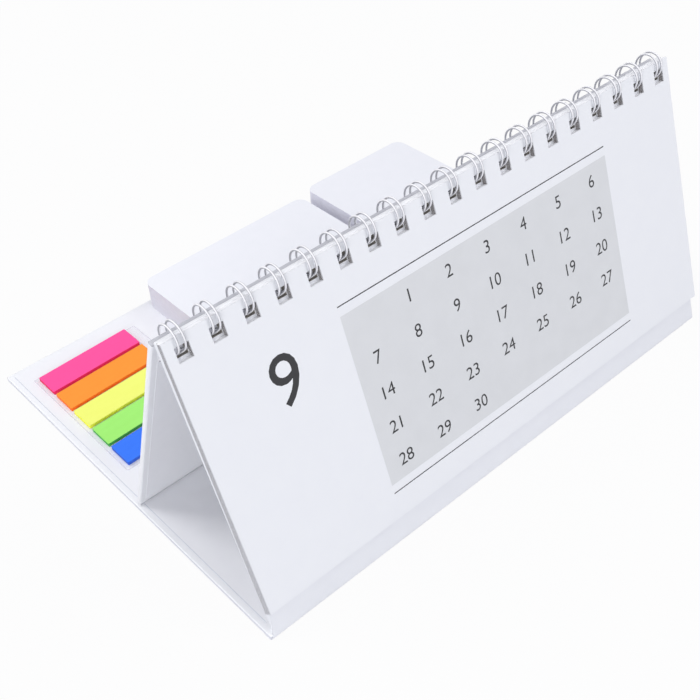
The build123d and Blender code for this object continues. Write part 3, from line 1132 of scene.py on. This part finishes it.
def paper_sweep():
    """White light for the rays that see it directly, mixed with a diffuse that keeps the shadow."""
    made, tree = new_material("white paper sweep")
    share = add_node(
        tree, "ShaderNodeMath", {0: seen_directly(tree), 1: white_share}, operation="MULTIPLY"
    )
    diffuse = add_node(tree, "ShaderNodeBsdfDiffuse", {"Color": linear("#CFCFD4")})
    white = add_node(tree, "ShaderNodeEmission", {"Color": full_white, "Strength": 1.0})
    mixed = add_node(
        tree, "ShaderNodeMixShader", {0: share.outputs[0], 1: diffuse.outputs[0], 2: white.outputs[0]}
    )
    add_node(tree, "ShaderNodeOutputMaterial", {"Surface": mixed.outputs[0]})
    return made


floor_reach = 3.0
floor_z = -0.0003
side = np.array((-floor_reach, floor_reach))
x, y = np.meshgrid(side, side, indexing="ij")
points = np.stack((x.ravel(), y.ravel(), np.full(4, floor_z)), axis=-1)
mesh = bpy.data.meshes.new("floor")
mesh.from_pydata(points.tolist(), [], [(0, 2, 3, 1)])
mesh.materials.append(paper_sweep())
floor = bpy.data.objects.new("floor", mesh)
bpy.context.scene.collection.objects.link(floor)
print(f"floor {2 * floor_reach:.0f} m wide, {-floor_z / mm:.1f} mm below the base")

# %% [markdown]
# ## Sky
#
# The sky is made the same way: white where it is seen, and weaker, a little blue, where it lights
# paper.

# %% Sky
sky_strength = 0.46
world = bpy.data.worlds.new("studio")
bpy.context.scene.world = world
world.use_nodes = True
tree = world.node_tree
tree.nodes.clear()
sky = add_node(tree, "ShaderNodeBackground", {"Color": linear("#F7F7FF"), "Strength": sky_strength})
white = add_node(tree, "ShaderNodeBackground", {"Color": full_white, "Strength": 1.0})
mixed = add_node(
    tree, "ShaderNodeMixShader", {0: seen_directly(tree), 1: sky.outputs[0], 2: white.outputs[0]}
)
add_node(tree, "ShaderNodeOutputWorld", {"Surface": mixed.outputs[0]})
print("sky strength", sky_strength)

# %% [markdown]
# ## Lamps
#
# White paper on white shows its form only by small steps of tone, so the light comes from four
# large soft lamps. The ones to the right and above light the page, the one to the left lights the
# near ends of the boards and pads, and the one behind lights the base and the flags.

# %% Lamps
aim = Vector((0, 0, 0.03))
for name, place, size, power in (
    ("softbox_right", (0.9, -0.95, 1.1), 0.7, 6.6),
    ("softbox_above", (0.15, -0.35, 1.7), 0.8, 3.6),
    ("softbox_left", (-1.2, -0.9, 0.45), 0.8, 8.4),
    ("softbox_behind", (-0.8, 1.0, 1.4), 0.8, 12.6),
):
    lamp = bpy.data.lights.new(name, "AREA")
    lamp.size = size
    lamp.energy = power
    holder = bpy.data.objects.new(name, lamp)
    holder.location = place
    holder.rotation_euler = (aim - Vector(place)).to_track_quat("-Z", "Y").to_euler()
    bpy.context.scene.collection.objects.link(holder)
    print(f"{name}: {power} W, {size} m wide")

# %% [markdown]
# ## Camera
#
# The camera stands where the picture was taken: in front, to the left and well above. Its three
# directions, its place and its lens come from a fit to the holes and to the edges of the boards,
# pads and flags. The lens is shifted, as it would be in a cropped picture.

# %% Camera
right = Vector((0.750515, -0.658956, -0.050055))
down = Vector((-0.506103, -0.524412, -0.684728))
forward = Vector((0.424956, 0.539231, -0.727078))
stand = Vector((-223.905, -248.72, 294.42)) * mm
lens = bpy.data.cameras.new("camera")
lens.sensor_width = 36.0
lens.lens = 51.834
lens.shift_x = 0.0571
lens.shift_y = 0.1357
lens.clip_start = 0.01
camera = bpy.data.objects.new("camera", lens)
turned = Matrix((right, -down, -forward)).transposed().to_4x4()
camera.matrix_world = Matrix.Translation(stand) @ turned
bpy.context.scene.collection.objects.link(camera)
bpy.context.scene.camera = camera
bpy.context.scene.view_settings.view_transform = "Standard"
print(f"camera {stand.length / mm:.0f} mm from the origin, lens {lens.lens:.1f} mm")
